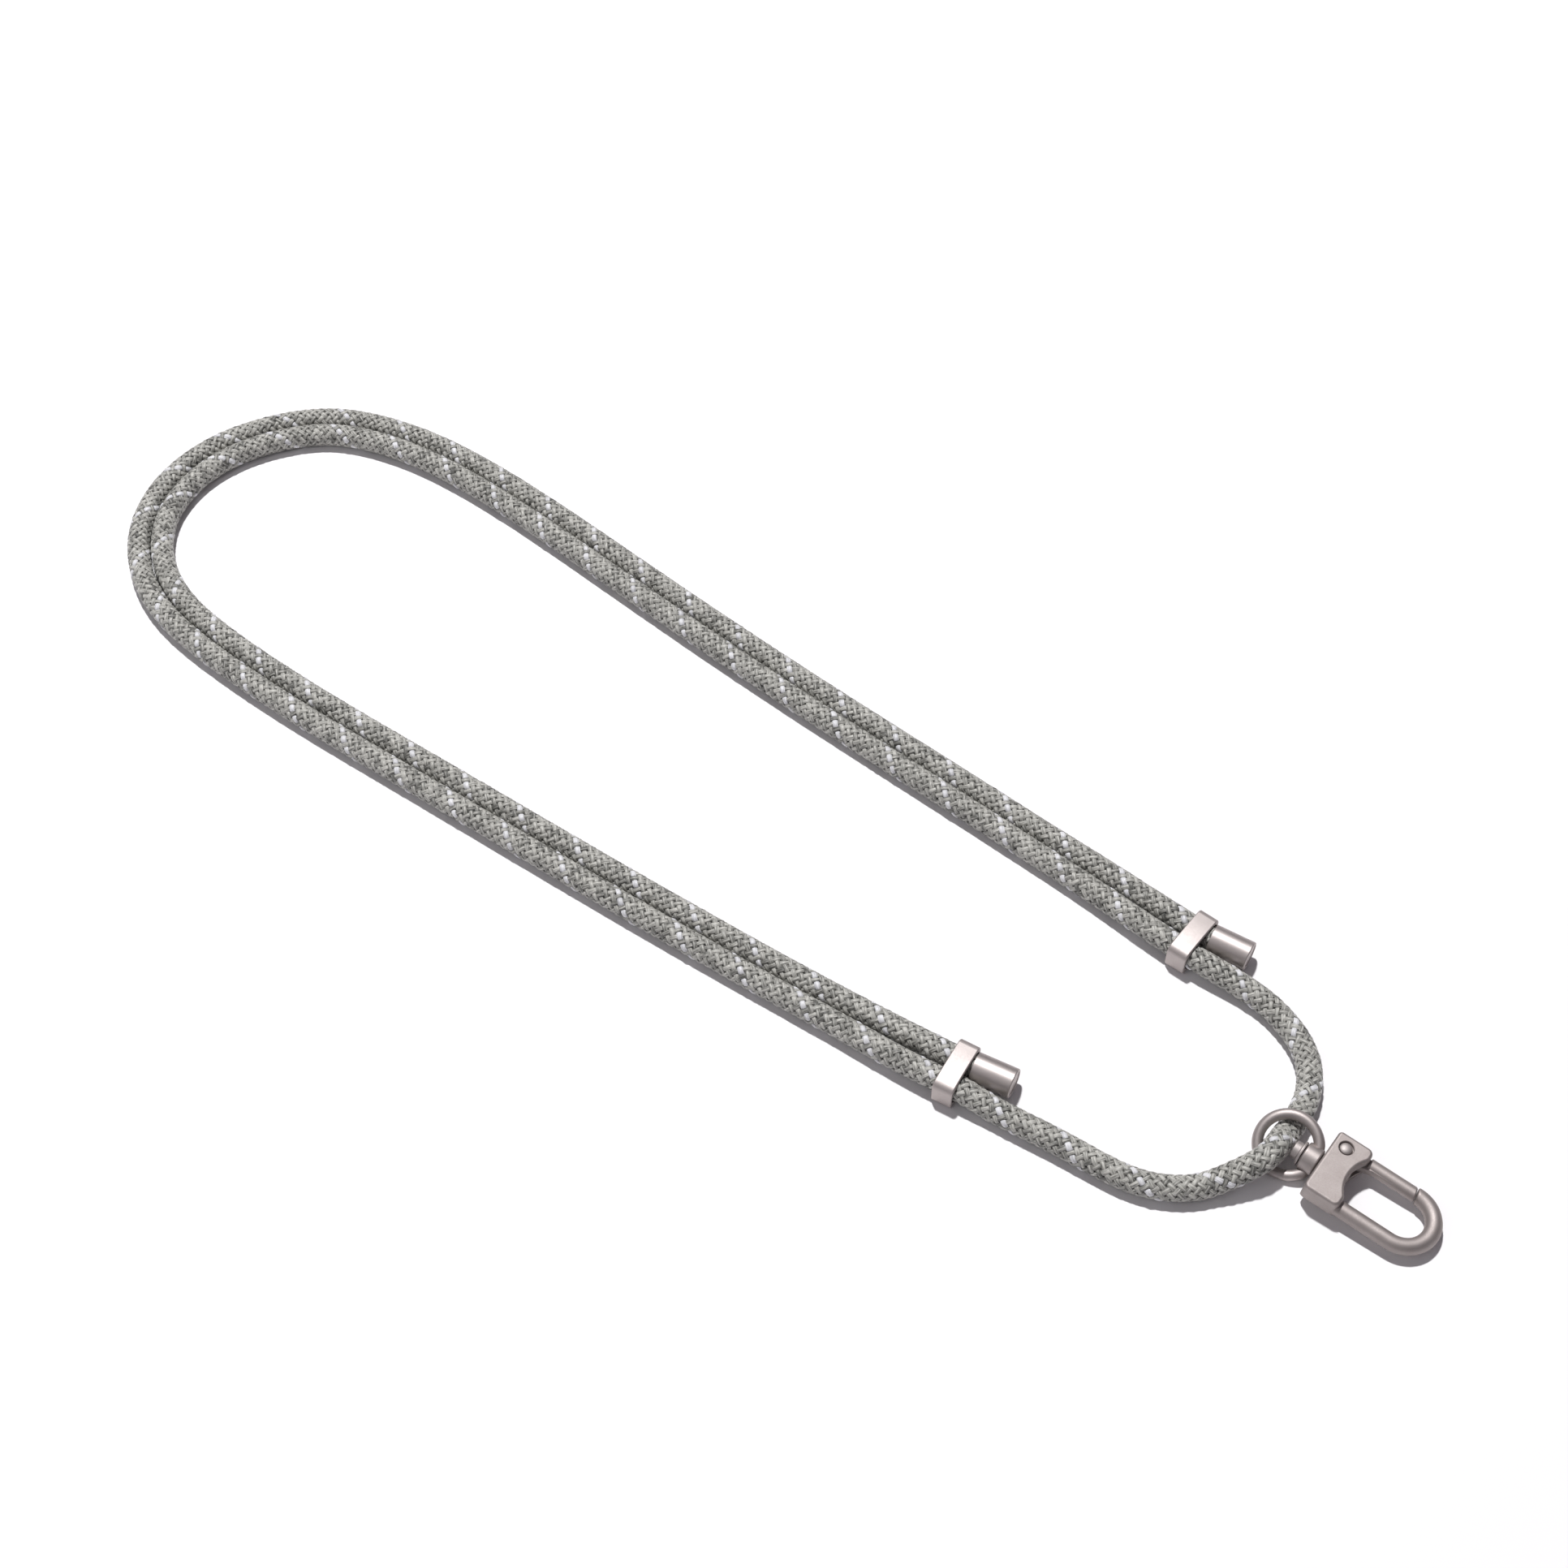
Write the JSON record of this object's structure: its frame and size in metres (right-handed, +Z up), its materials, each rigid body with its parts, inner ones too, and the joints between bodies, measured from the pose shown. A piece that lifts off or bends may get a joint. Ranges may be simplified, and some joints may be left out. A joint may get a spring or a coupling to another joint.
{
  "type": "phone crossbody strap",
  "caption": "Braided rope crossbody strap for a phone, doubled into a long loop, with metal sliders and end caps and a swivel clasp with a sprung gate, lying flat.",
  "frame": {"origin": "on the surface the strap lies on, under the middle of its metal pieces' footprint", "axes": "+X along the strap towards the clasp's hook, +Z up from the surface"},
  "size_m": [0.5276, 0.1342, 0.0127],
  "materials": {
    "sage_cord": "round braid of sage-grey yarn with one white tracer",
    "slider_nickel": "satin nickel plate",
    "cap_nickel": "satin nickel plate",
    "ring_nickel": "satin nickel plate",
    "clasp_nickel": "satin nickel plate on a casting",
    "pin_steel": "bright turned steel"
  },
  "bodies": {
    "strap": {"rope": "sage_cord", "upper_slider": "slider_nickel", "lower_slider": "slider_nickel", "upper_end_cap": "cap_nickel", "lower_end_cap": "cap_nickel", "swivel_ring": "ring_nickel"},
    "hook": {"hook_body": "clasp_nickel", "swivel_pin": "pin_steel", "gate_rivet": "pin_steel"},
    "gate_arm": {"gate": "clasp_nickel"}
  },
  "joints": [
    {"name": "swivel", "type": "hinge", "parent": "strap", "child": "hook", "pos_m": [0.03459, -0.0038, 0.00582], "axis": [0.9988, 0, -0.0485], "continuous": true},
    {"name": "gate_hinge", "type": "hinge", "parent": "hook", "child": "gate_arm", "pos_m": [0.03888, 0.0031, 0.00561], "axis": [-0.0485, 0, -0.9988], "range_deg": [0, 24], "stiffness_Nm_per_rad": 0.05, "springref_deg": -20.05}
  ]
}
